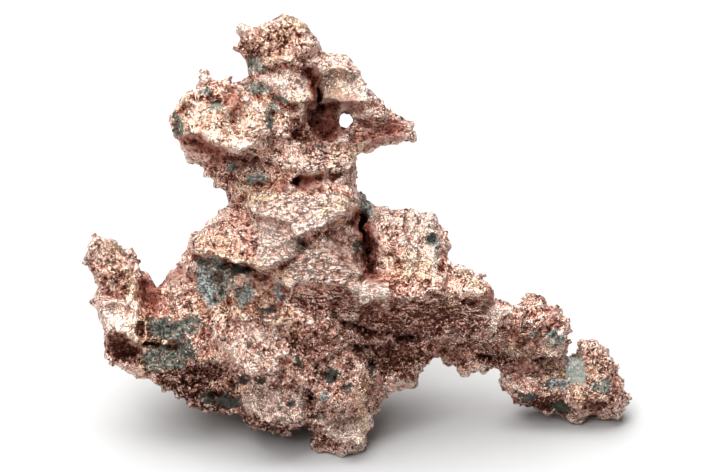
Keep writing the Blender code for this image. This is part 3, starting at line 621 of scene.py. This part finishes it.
def cells(points, size, number):
    """For each point: its offset from the middle of its cell in millimetres, a random vector of
    that cell between -0.5 and 0.5, and how far inside the cell it is."""
    shifted = points / size + FIELD_STEP * number
    found = [noise.voronoi(place) for place in shifted.tolist()]
    middles = np.array([spots[0] for _, spots in found])
    gap = np.array([spans[1] - spans[0] for spans, _ in found])
    tilt = np.array([noise.cell_vector(place) for place in (middles * 7.0).tolist()]) - 0.5
    return (shifted - middles) * size, tilt, gap


def facets(points, size, number):
    """Height of the tilted plane that each point's cell carries, for a slope of 1."""
    offset, tilt, _ = cells(points, size, number)
    return (offset * tilt).sum(1)


def blots(spots, places, edge):
    """The strongest (or later) soft ellipse at each place of the face, and its number."""
    best = np.zeros(len(places))
    which = np.zeros(len(places), int)
    for number, (x, y, wide, tall, turn, *_) in enumerate(spots):
        angle = math.radians(turn)
        dx, dy = places[:, 0] - x, places[:, 1] - y
        along = (dx * math.cos(angle) + dy * math.sin(angle)) / wide
        over = (dy * math.cos(angle) - dx * math.sin(angle)) / tall
        here = ramp(1 + edge, 1 - edge, np.hypot(along, over))
        which[(here > 0) & (here >= best)] = number
        best = np.maximum(best, here)
    return best, which


def zone(spots, places, edge=0.45):
    """The soft ellipses as one mask, each as strong as its last number."""
    strength = np.zeros(len(places))
    for spot in spots:
        here, _ = blots([spot], places, edge)
        strength = np.maximum(strength, here * spot[5])
    return strength


def inside(outline, places, edge):
    """1 well inside a closed outline of the face, 0 outside it, soft over the edge's width."""
    corners = np.array(outline, float)
    odd = np.zeros(len(places), bool)
    for start, end in zip(corners, np.roll(corners, -1, 0)):
        crosses = (start[1] > places[:, 1]) != (end[1] > places[:, 1])
        run, rise = end - start
        edge_x = start[0] + (places[:, 1] - start[1]) * run / (rise or 1e-9)
        odd ^= crosses & (places[:, 0] < edge_x)
    gap = along_line([*outline, outline[0]], places)
    return ramp(-0.5 * edge, 0.5 * edge, np.where(odd, gap, -gap))


def along_line(line, places):
    """Distance from each place of the face to a line through the given points."""
    nearest = np.full(len(places), np.inf)
    for start, end in zip(line, line[1:]):
        start, span = np.array(start), np.array(end) - np.array(start)
        share = np.clip((places - start) @ span / (span @ span), 0, 1)
        gap = np.linalg.norm(places - start - share[:, None] * span, axis=1)
        nearest = np.minimum(nearest, gap)
    return nearest


# ---------------- the skin


def bare_skin():
    """The CAD nugget's surface in the face frame, on an even grid, with its facets softened."""
    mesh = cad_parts[NODE].data.copy()
    mesh.transform(Matrix.Translation(-FACE_ORIGIN))
    mesh.transform(Matrix.Rotation(-LEAN, 4, "X"))
    mesh.transform(Matrix.Scale(1 / MM, 4))
    joined = bmesh.new()
    joined.from_mesh(mesh)
    bmesh.ops.remove_doubles(joined, verts=joined.verts[:], dist=0.001)
    joined.to_mesh(mesh)
    joined.free()
    skin = remeshed(mesh, SKIN_GRID)
    put_points(skin, relaxed(points_of(skin), edges_of(skin), 4, keep=0.3))
    return skin


def facing(normals):
    """1 on skin that faces out of the face, 0 on skin that faces away."""
    return ramp(-0.15, 0.35, normals[:, 2])


def uppermost(points, normals):
    """1 on the skin that is seen from in front, 0 on skin behind or under it."""
    cell, half_count = 0.7, 100
    spots = tuple((np.floor(points[:, :2] / cell).astype(int) + half_count).T)
    top = np.full((2 * half_count, 2 * half_count), -np.inf)
    np.maximum.at(top, spots, points[:, 2])
    return ramp(3.5, 2.0, top[spots] - points[:, 2]) * facing(normals)


def nudge(skin):
    """Draws the outline out or in at the named places."""
    points = points_of(skin)
    places = points[:, :2].copy()
    for x, y, reach, right, up in NUDGES:
        share = ramp(reach, 0.0, np.hypot(places[:, 0] - x, places[:, 1] - y))
        points[:, 0] += right * share
        points[:, 1] += up * share
    put_points(skin, points)


def shape_planes(skin):
    """Pulls each named plane of the face flat, at its own lean."""
    points = points_of(skin)
    front = uppermost(points, normals_of(skin))
    places = points[:, :2] + 0.45 * drift(points, 2.2, 20)[:, :2]
    for right, up, lift, _, outline in PLANES.values():
        share = inside(outline, places, 0.9) * front
        if share.sum() < 1:
            continue
        middle = (points * share[:, None]).sum(0) / share.sum()
        offset = points - middle
        level = middle[2] + lift - right * offset[:, 0] - up * offset[:, 1]
        points[:, 2] += 0.85 * share * (level - points[:, 2])
    put_points(skin, points)


def comb(skin):
    """Raises a fibrous grain across the face where it has one."""
    points = points_of(skin)
    normals = normals_of(skin)
    share = zone(FIBROUS, points[:, :2]) * facing(normals)
    stretched = (points + 0.8 * drift(points, 3.0, 21)) * (0.28, 1.0, 0.8)
    lines = crag(stretched, 1.1, 22) - 0.5 + 0.5 * wave(stretched, 0.7, 23)
    put_points(skin, points + normals * (0.45 * share * lines)[:, None])


def carve(skin):
    """Cuts the strokes and pits of the face, and raises its rims, with wandering edges."""
    points = points_of(skin)
    front = facing(normals_of(skin))
    places = points[:, :2] + 0.55 * drift(points, 1.6, 1)[:, :2]
    height = np.zeros(len(points))
    for half_width, rise, line in STROKES.values():
        share = np.clip(1 - (along_line(line, places) / half_width) ** 2, 0, None)
        height += rise * share
    for x, y, half_width, depth in PITS:
        share = 1 - np.hypot(places[:, 0] - x, places[:, 1] - y) ** 2 / half_width**2
        height -= depth * np.clip(share, 0, None)
    points[:, 2] += front * height
    put_points(skin, points)


def open_window(skin):
    """Keeps the hole through the head at its full width."""
    points = points_of(skin)
    offset = (points[:, :2] - WINDOW) / WINDOW_SIZE
    turn = np.arctan2(offset[:, 1], offset[:, 0])
    edge = 1 + 0.07 * np.cos(3 * turn + 1.0) + 0.05 * np.cos(5 * turn)
    reach = np.maximum(np.linalg.norm(offset, axis=1), 0.05)
    push = np.where(reach < edge, edge / reach, 1.0)
    points[:, :2] = WINDOW + offset * push[:, None] * WINDOW_SIZE
    put_points(skin, points)


def calmness(points, normals):
    """0 where the skin is all knobs and facets, 1 where it is smooth."""
    share = facing(normals)
    crumbly_behind = ramp(-0.2, 0.3, wave(points, 11.0, 24))
    crumbly = share * zone(CRUMBLY, points[:, :2]) + (1 - share) * crumbly_behind
    edge = ramp(0.5, 0.2, np.abs(normals[:, 2]))
    return np.maximum(share * zone(SMOOTH, points[:, :2]), 0.5 * (1 - crumbly)) * (1 - 0.8 * edge)


def lump(skin):
    """Middle-sized forms: tilted facets, knobs with creases between them, and small pits."""
    points = points_of(skin)
    normals = normals_of(skin)
    calm = calmness(points, normals)
    offset, tilt, gap = cells(points + 0.5 * drift(points, 2.0, 2), 2.6, 3)
    push = 0.5 * (offset * tilt).sum(1)
    behind = ramp(0.0, -0.6, normals[:, 2]) * ramp(4.0, 7.0, np.hypot(*(points[:, :2] - WINDOW).T))
    push += 0.8 * behind * facets(points + drift(points, 3.0, 26), 4.2, 27)
    push += 0.25 * (ramp(0.0, 0.4, gap) - 0.7)
    push += 0.25 * wave(points, 3.4, 4)
    push += 0.2 * (crag(points, 3.0, 5) - 0.5)
    _, tilt, gap = cells(points + 0.4 * drift(points, 1.2, 6), 1.9, 7)
    pit = ramp(0.38, 0.48, tilt[:, 0]) * ramp(0.15, 0.6, gap)
    push -= 0.7 * pit * ramp(0.6, 0.2, calm)
    put_points(skin, points + normals * (push * (1.25 - calm))[:, None])


def hackle(skin):
    """The fine grain of the metal: small crumpled facets and ridges."""
    points = points_of(skin)
    normals = normals_of(skin)
    calm = calmness(points, normals)
    push = 0.7 * facets(points + 0.25 * drift(points, 0.8, 8), 0.95, 9)
    push += 0.22 * (crag(points, 1.1, 10, 2) - 0.5)
    push += 0.16 * wave(points, 0.6, 11)
    put_points(skin, points + normals * (push * (1 - 0.8 * calm))[:, None])


def ground(skin):
    """Keeps the skin above the ground, so the feet stay flat."""
    points = points_of(skin)
    up = axes()[:, 2]
    below = np.minimum(points @ up - GROUND, 0.0)
    put_points(skin, points - below[:, None] * up)


def mark(mesh, name, values):
    """Stores one number for each point, which the materials read."""
    layer = mesh.attributes.new(name, "FLOAT", "POINT")
    layer.data.foreach_set("value", values.astype(np.float32))


def hollowness(points, normals, edges):
    """1 in a hollow and -1 on a tip, near by and over a few millimetres."""
    near = (relaxed(points, edges, 6) - points) * normals
    far = (relaxed(points, edges, 60) - points) * normals
    return np.clip(near.sum(1) / 0.22, -1, 1) * 0.5 + np.clip(far.sum(1) / 1.1, -1, 1) * 0.5


def mineral_masks(points, rough, front, hollow):
    """How much mineral lies on the skin, and how pale it is."""
    mineral, which = blots(MINERAL, points[:, :2] + 0.9 * rough, 0.12)
    pale = np.array([spot[5] for spot in MINERAL])[which]
    behind = ramp(0.30, 0.42, wave(points, 7.0, 14) + 0.5 * wave(points, 2.0, 15) + 0.3 * hollow)
    mineral = front * mineral + (1 - front) * behind
    pale = front * pale + (1 - front) * 0.35
    mineral *= 0.65 + np.where(pale < 0, 0.25, 0.35) * np.abs(pale)
    return mineral, pale


def cut_shade_mask(places, rough):
    """Painted shade: 1 in the middle of the face's deep strokes and pits, which it darkens."""
    grime = np.zeros(len(places))
    for half_width, rise, line in STROKES.values():
        share = ramp(1.1 * half_width, 0.3 * half_width, along_line(line, places + 0.3 * rough))
        grime = np.maximum(grime, share * ramp(-0.6, -2.2, np.array(rise)))
    for x, y, half_width, depth in PITS:
        share = ramp(half_width, 0.3 * half_width, np.hypot(places[:, 0] - x, places[:, 1] - y))
        grime = np.maximum(grime, share * ramp(0.4, 1.8, np.array(depth)))
    return grime


def stain_and_shade_mask(points, normals, edges, rough, front):
    """How stained the skin is, with painted shade on the planes that lean down and at the outline; below 0
    it is polished, and painted lighter on the planes that lean up.
    """
    stain = np.zeros(len(points))
    for *_, amount, outline in PLANES.values():
        share = front * inside(outline, points[:, :2] + 1.1 * rough, 0.9)
        stain += share * (amount - stain)
    stain += (1 - front) * (0.2 + 0.5 * ramp(-0.2, 0.4, wave(points, 8.0, 25)))
    # Painted shade at the outline: the skin is darkened where it turns side-on to the face.
    return stain + 0.3 * ramp(0.45, 0.1, np.abs(relaxed(normals, edges, 4)[:, 2]))


def masks(skin):
    """Marks where the mineral, the gold, the red, the stains with their painted shade and light, the
    painted shade of the cuts, and the hollows are.
    """
    points = points_of(skin)
    normals = normals_of(skin)
    edges = edges_of(skin)
    front = facing(relaxed(normals, edges, 12))
    hollow = hollowness(points, normals, edges)
    rough = drift(points, 1.5, 12)[:, :2] + 0.5 * drift(points, 0.6, 13)[:, :2]
    mineral, pale = mineral_masks(points, rough, front, hollow)
    soft = points[:, :2] + 1.2 * rough
    mark(skin, "grime", front * cut_shade_mask(points[:, :2], rough))
    mark(skin, "mineral", mineral)
    mark(skin, "pale", pale)
    mark(skin, "stain", stain_and_shade_mask(points, normals, edges, rough, front))
    mark(skin, "hollow", hollow)
    mark(skin, "gold", front * zone(GOLD, soft))
    mark(skin, "red", front * zone(RED, soft))
    mark(skin, "calm", calmness(points + 0.8 * drift(points, 1.5, 12), normals))
    mark(skin, "fibrous", front * zone(FIBROUS, points[:, :2]))


def layer_of(mesh, name):
    return rows_of(mesh.attributes[name].data, "value", 1)[:, 0]


def crystals(skin):
    """Small blocky crystals that stand out of the crumbly skin, as one mesh."""
    rng = np.random.default_rng(CRYSTAL_SEED)
    clear_of_ground, sunk = 2.0, 0.15
    points = points_of(skin)
    normals = normals_of(skin)
    front = facing(normals)
    bare = layer_of(skin, "mineral") < 0.3
    clear = points @ axes()[:, 2] > clear_of_ground + GROUND
    share = (front * zone(CRUMBLY, points[:, :2]) ** 2 + 0.1 * (1 - front)) * bare * clear
    chosen = rng.choice(len(points), CRYSTALS, replace=False, p=share / share.sum())
    corners = np.array([(x, y, z) for x in (-1, 1) for y in (-1, 1) for z in (-1, 1)], float)
    sides = np.array([(0, 1, 3, 2), (4, 6, 7, 5), (0, 4, 5, 1), (2, 3, 7, 6), (0, 2, 6, 4), (1, 5, 7, 3)])
    half = rng.uniform(0.14, 0.36, (CRYSTALS, 1, 1)) * rng.uniform(0.6, 1.2, (CRYSTALS, 1, 3))
    blocks = (corners + rng.uniform(-0.25, 0.25, (CRYSTALS, 8, 3))) * half
    turns, _ = np.linalg.qr(rng.normal(size=(CRYSTALS, 3, 3)))
    turns[np.linalg.det(turns) < 0, 0] *= -1
    places = points[chosen] + normals[chosen] * half[:, 0] * sunk
    blocks = blocks @ turns + places[:, None]
    faces = sides[None] + 8 * np.arange(CRYSTALS)[:, None, None]
    mesh = bpy.data.meshes.new("crystals")
    mesh.from_pydata(blocks.reshape(-1, 3).tolist(), [], faces.reshape(-1, 4).tolist())
    for name in ("stain", "gold", "red"):
        mark(mesh, name, np.repeat(layer_of(skin, name)[chosen], 8) * 0.7)
    return mesh


def sculpt():
    """The nugget's skin in the face frame: big forms first, then the grain, then the masks."""
    noise.seed_set(DRIFT_SEED)
    skin = bare_skin()
    nudge(skin)
    shape_planes(skin)
    carve(skin)
    lump(skin)
    open_window(skin)
    skin = remeshed(skin, SKIN_GRID)
    comb(skin)
    hackle(skin)
    open_window(skin)
    skin = thinned(skin, SKIN_TRIANGLES)
    ground(skin)
    masks(skin)
    return skin


def settle(mesh):
    """Moves a mesh from the face frame to the row frame."""
    mesh.transform(Matrix.Scale(MM, 4))
    mesh.transform(Matrix.Rotation(LEAN, 4, "X"))
    mesh.transform(Matrix.Translation(FACE_ORIGIN))


# ---------------- materials


class Tree:
    """Short names for building a material's nodes."""

    def __init__(self, name):
        self.material = bpy.data.materials.new(name)
        self.material.use_nodes = True
        self.nodes = self.material.node_tree.nodes
        self.links = self.material.node_tree.links
        self.shader = self.nodes["Principled BSDF"]

    def put(self, socket, value):
        if isinstance(value, bpy.types.NodeSocket):
            self.links.new(value, socket)
        elif value is not None:
            socket.default_value = value

    def shade(self, name, value):
        self.put(self.shader.inputs[name], value)

    def node(self, kind, *inputs, **settings):
        made = self.nodes.new("ShaderNode" + kind)
        for name, value in settings.items():
            setattr(made, name, value)
        for socket, value in zip(made.inputs, inputs):
            self.put(socket, value)
        return made

    def math(self, operation, *inputs):
        return self.node("Math", *inputs, operation=operation).outputs[0]

    def vector(self, operation, *inputs):
        return self.node("VectorMath", *inputs, operation=operation).outputs[0]

    def layer(self, name):
        return self.node("Attribute", attribute_name=name).outputs["Fac"]

    def texture(self, kind, place, **settings):
        made = self.node(kind)
        self.put(made.inputs["Vector"], place)
        for name, value in settings.items():
            made.inputs[name].default_value = value
        return made.outputs

    def noise(self, place, scale, detail=2.0, rough=0.5):
        return self.texture("TexNoise", place, Scale=scale, Detail=detail, Roughness=rough)["Fac"]

    def drift(self, place, scale):
        away = self.texture("TexNoise", place, Scale=scale)["Color"]
        return self.vector("SUBTRACT", away, (0.5, 0.5, 0.5))

    def cells(self, place, scale):
        return self.texture("TexVoronoi", place, Scale=scale)

    def mix(self, share, first, second):
        """Between two colours."""
        made = self.node("Mix", data_type="RGBA")
        self.put(made.inputs[0], share)
        self.put(made.inputs[6], first)
        self.put(made.inputs[7], second)
        return made.outputs[2]

    def blend(self, share, first, second):
        """Between two numbers."""
        made = self.node("Mix")
        self.put(made.inputs[0], share)
        self.put(made.inputs[2], first)
        self.put(made.inputs[3], second)
        return made.outputs[0]

    def ramp(self, low, high, value):
        made = self.node("MapRange", value, low, high, 0.0, 1.0)
        made.interpolation_type = "SMOOTHSTEP"
        return made.outputs[0]

    def scaled(self, vector, amount):
        made = self.vector("SCALE", vector)
        self.put(made.node.inputs["Scale"], amount)
        return made

    def turned(self, place, stretch):
        """The place in the face frame's directions, times the stretch."""
        return self.node("Mapping", place, (0, 0, 0), (-LEAN, 0, 0), stretch).outputs[0]


TIP_AND_HIGHLIGHT = (0.94, 0.765, 0.67, 1)
BODY = (0.95, 0.605, 0.485, 1)
ROSE = (0.88, 0.44, 0.34, 1)
GOLDEN = (0.93, 0.70, 0.45, 1)
CUPRITE = (0.42, 0.105, 0.062, 1)
BROWN = (0.19, 0.064, 0.036, 1)
DEEP_SHADE = (0.052, 0.010, 0.004, 1)
CRACK_SHADE = (0.085, 0.014, 0.005, 1)
PALE_MINERAL = (0.70, 0.75, 0.72, 1)
MINERAL_GREEN = (0.36, 0.41, 0.34, 1)
DARK_MINERAL_AND_SHADE = (0.034, 0.027, 0.020, 1)


def cracks(tree, field, width):
    """Thin crisp lines where the field passes its middle; no line where the width is 0."""
    off = tree.math("ABSOLUTE", tree.math("SUBTRACT", field, 0.5))
    return tree.ramp(1.0, 0.45, tree.math("DIVIDE", off, tree.math("MAXIMUM", width, 0.002)))


def summed(tree, parts):
    """The sum of amount x (part - middle)."""
    total = 0.0
    for part, amount, middle in parts:
        share = tree.math("MULTIPLY", tree.math("SUBTRACT", part, middle), amount)
        total = tree.math("ADD", total, share)
    return total


def copper_fields(tree):
    """What the copper's parts share: the mesh's own layers, and noises in millimetres."""
    place = tree.scaled(tree.node("TexCoord").outputs["Object"], 1 / MM)
    at = SimpleNamespace(place=place)
    for name in ("hollow", "calm", "stain", "fibrous", "grime", "gold", "red", "mineral", "pale"):
        setattr(at, name, tree.layer(name))
    at.speck = tree.noise(place, 3.8, 3.0, 0.65)
    at.patch = tree.noise(place, 0.8, 4.0, 0.65)
    at.blot = tree.noise(place, 1.25, 4.0, 0.65)
    at.fine = tree.cells(place, 3.9)
    at.coarse = tree.cells(place, 1.7)
    at.chance = tree.node("SeparateColor", at.fine["Color"]).outputs
    return at


def crack_mask(tree, at):
    """1 in thin cracks, which come in crowds and taper away between them, and in small chips."""
    crowd = tree.ramp(0.48, 0.66, tree.noise(at.place, 0.55, 3.0, 0.6))
    other_crowd = tree.ramp(0.48, 0.64, tree.noise(at.place, 0.7, 2.0, 0.5))
    shaken = tree.vector("ADD", at.place, tree.scaled(tree.drift(at.place, 2.2), 0.9))
    along = tree.turned(shaken, (0.75, 1.0, 0.9))
    lay = tree.turned(at.place, (0.2, 1.0, 0.9))
    crack = 0.0
    for field, width in (
        (tree.noise(shaken, 0.65, 1.0), tree.blend(crowd, 0.004, 0.032)),
        (tree.noise(along, 1.2, 1.0), tree.blend(other_crowd, 0.002, 0.046)),
        (tree.noise(along, 2.2, 1.0), tree.blend(crowd, 0.0, 0.05)),
        (tree.noise(lay, 1.7, 2.0), tree.blend(at.fibrous, 0.0, 0.05)),
    ):
        crack = tree.math("MAXIMUM", crack, cracks(tree, field, width))
    chip = summed(tree, ((tree.noise(at.place, 2.1, 4.0, 0.7), 1.0, 0.585), (at.calm, -0.06, 0.0)))
    return tree.math("MAXIMUM", crack, tree.ramp(0.0, 0.04, chip))


def depth_of(tree, at):
    """How dark the metal is painted: below 0 on polished tips, on planes painted lighter and at painted
    glints; 1 deep in a hollow, where oxide and painted shade gather.
    """
    glint = tree.ramp(0.56, 0.62, tree.noise(at.place, 3.0, 3.0, 0.65))
    glint = tree.math("MULTIPLY", tree.math("MULTIPLY", glint, at.stain), tree.blend(at.calm, 1.0, 0.2))
    stain_and_shade_blots = tree.math("MULTIPLY", at.stain, tree.ramp(0.36, 0.60, at.blot))
    cut_shade_blots = tree.math("MULTIPLY", at.grime, tree.ramp(0.36, 0.62, at.blot))
    return summed(tree, (
        # painted shade in the hollows, over their oxide
        (at.hollow, 0.8, 0.0),
        (glint, -1.1, 0.0),
        (at.patch, 1.9, 0.5),
        (at.chance[0], 1.3, 0.5),
        (at.stain, 0.45, 0.0),
        # painted shade in the cuts and pits
        (stain_and_shade_blots, 1.0, 0.0),
        (at.grime, 0.5, 0.0),
        (cut_shade_blots, 0.9, 0.0),
    ))


def metal_colour(tree, at, depth, crack):
    """Pink and golden metal; red and brown tarnish, which also carries painted shade, and near black
    painted deep shade; and the share of tarnish and shade.
    """
    body = tree.mix(tree.ramp(0.7, 1.0, at.chance[1]), BODY, ROSE)
    # Paler metal on polished tips, and painted highlight on the planes painted lighter and at the glints.
    body = tree.mix(tree.ramp(0.15, -0.45, depth), body, TIP_AND_HIGHLIGHT)
    golden = tree.math("ADD", at.gold, tree.ramp(0.54, 0.68, tree.noise(at.place, 0.13, 2.0)))
    golden = tree.math("MULTIPLY", golden, tree.ramp(0.35, 0.65, at.speck))
    metal = tree.mix(tree.math("MINIMUM", golden, 0.85), body, GOLDEN)
    tarnish_and_shade = tree.math("ADD", tree.ramp(0.30, 0.90, depth), tree.math("MULTIPLY", at.red, 0.8))
    tarnish_and_shade = tree.math("MINIMUM", tarnish_and_shade, 0.95)
    metal = tree.mix(tarnish_and_shade, metal, tree.mix(at.stain, CUPRITE, BROWN))
    # Near black painted shade, deep in the hollows, in the cuts and on the planes painted darkest.
    metal = tree.mix(tree.ramp(0.8, 1.4, depth), metal, DEEP_SHADE)
    # Painted shade in the fine cracks and chips, dark red-brown, fainter on polished skin.
    crack_share = tree.blend(tree.ramp(0.0, -1.0, at.stain), 0.95, 0.5)
    return tree.mix(tree.math("MULTIPLY", crack, crack_share), metal, CRACK_SHADE), tarnish_and_shade


def mineral_colour(tree, at, crack):
    """Grey-green mineral, darker at its ragged rims and in spots, nearly black at its darkest spots, which
    in the pits and cuts are painted shade; and where it lies.
    """
    cover = summed(tree, ((at.mineral, 1.0, 0.50), (at.blot, 2.4, 0.5), (at.speck, 2.6, 0.5)))
    rim = tree.ramp(0.16, 0.02, cover)
    spots = tree.math("MAXIMUM", tree.ramp(0.54, 0.44, tree.noise(at.place, 2.2, 4.0, 0.7)), crack)
    spots = tree.math("MULTIPLY", spots, tree.ramp(0.9, 0.6, at.calm))
    # Nearly black: dark mineral, and painted shade at the spots in the pits and cuts.
    black = tree.math("MULTIPLY", tree.ramp(-0.1, -0.9, at.pale), tree.blend(at.speck, 1.8, 0.3))
    dark = tree.math("MAXIMUM", tree.math("MAXIMUM", rim, spots), black)
    dark = tree.math("MULTIPLY", tree.math("MINIMUM", dark, 1.0), 0.88)
    stone = tree.mix(tree.ramp(0.2, 0.9, at.pale), MINERAL_GREEN, PALE_MINERAL)
    return tree.mix(dark, stone, DARK_MINERAL_AND_SHADE), tree.ramp(0.0, 0.05, cover)


def grain_normal(tree, at, crack):
    """The normal, tilted from grain to grain over a fine relief; calm skin tilts less."""
    bump = tree.node("Bump")
    relief = summed(tree, ((at.speck, 1.2, 0.0), (crack, -1.0, 0.0), (at.blot, 1.0, 0.0)))
    for name, value in (("Strength", 1.0), ("Distance", 0.22 * MM), ("Height", relief)):
        tree.put(bump.inputs[name], value)
    normal = bump.outputs[0]
    keep = tree.math("SUBTRACT", 1.0, tree.math("MULTIPLY", at.calm, 0.85))
    for grain, tilt in ((at.fine, 0.75), (at.coarse, 0.35)):
        lean = tree.vector("SUBTRACT", grain["Color"], (0.5, 0.5, 0.5))
        normal = tree.vector("ADD", normal, tree.scaled(lean, tree.math("MULTIPLY", keep, tilt)))
    return tree.vector("NORMALIZE", normal)


def copper():
    """Bright hackly copper: pink and golden metal, cuprite red in the hollows, and mineral."""
    tree = Tree("hackly_copper")
    at = copper_fields(tree)
    crack = crack_mask(tree, at)
    metal, tarnish_and_shade = metal_colour(tree, at, depth_of(tree, at), crack)
    stone, mineral = mineral_colour(tree, at, crack)
    dull = tree.math("MAXIMUM", tree.math("MULTIPLY", tarnish_and_shade, 0.35), tree.math("MULTIPLY", crack, 0.4))
    shine = tree.math("MULTIPLY", tree.math("SUBTRACT", 1.0, dull), tree.math("SUBTRACT", 1.0, mineral))
    rough = tree.blend(tree.math("MAXIMUM", tarnish_and_shade, mineral), 0.25, 0.55)
    tree.shade("Base Color", tree.mix(mineral, metal, stone))
    tree.shade("Metallic", shine)
    tree.shade("Roughness", rough)
    tree.shade("Normal", grain_normal(tree, at, crack))
    tree.shade("Specular IOR Level", 0.2)
    return tree.material


def paper():
    """The matte pale floor."""
    tree = Tree("pale_floor")
    tree.shade("Base Color", (0.52, 0.52, 0.52, 1))
    tree.shade("Roughness", 0.9)
    tree.shade("Specular IOR Level", 0.0)
    return tree.material


# ---------------- stage


def floor():
    half = 4.0
    mesh = bpy.data.meshes.new("floor")
    corners = [(-half, -half, 0), (half, -half, 0), (half, half, 0), (-half, half, 0)]
    mesh.from_pydata(corners, [], [(0, 1, 2, 3)])
    mesh.materials.append(paper())
    new_object("floor", mesh)


def softbox(name, place, size, power):
    """A square light that looks at the row frame's origin."""
    light = bpy.data.lights.new(name, "AREA")
    light.size = size
    light.energy = power
    made = new_object(name, light)
    made.location = place
    made.rotation_euler = (-Vector(place)).to_track_quat("-Z", "Y").to_euler()


def room():
    """Soft studio light: a dim white room, and the softboxes, in metres and watts."""
    world = bpy.data.worlds.new("room")
    bpy.context.scene.world = world
    world.use_nodes = True
    back = world.node_tree.nodes["Background"]
    back.inputs["Color"].default_value = (1, 1, 1, 1)
    back.inputs["Strength"].default_value = 0.18
    softbox("overhead", (-0.1, 0.2, 0.62), size=0.85, power=11.9)
    softbox("fill", (-0.25, -0.45, 0.62), size=0.5, power=3.6)
    bpy.context.scene.view_settings.view_transform = "Standard"


def camera():
    """Looks down 30 degrees on the face, square to it, from 0.9 m."""
    distance, width_seen, sensor = 0.9, 0.118, 36.0
    lens = bpy.data.cameras.new("camera")
    lens.sensor_width = sensor
    lens.lens = sensor * distance / width_seen
    made = new_object("camera", lens)
    out = Vector(axes()[2])
    made.location = FACE_ORIGIN + out * distance
    made.rotation_mode = "QUATERNION"
    made.rotation_quaternion = (-out).to_track_quat("-Z", "Y")
    bpy.context.scene.camera = made


skin_mesh = sculpt()
crystal_mesh = crystals(skin_mesh)
metal = copper()
for name, mesh in (("nugget_skin", skin_mesh), ("nugget_crystals", crystal_mesh)):
    settle(mesh)
    mesh.materials.clear()
    mesh.materials.append(metal)
    piece = new_object(name, mesh)
    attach(piece, "root")
    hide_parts(NODE)
floor()
room()
camera()
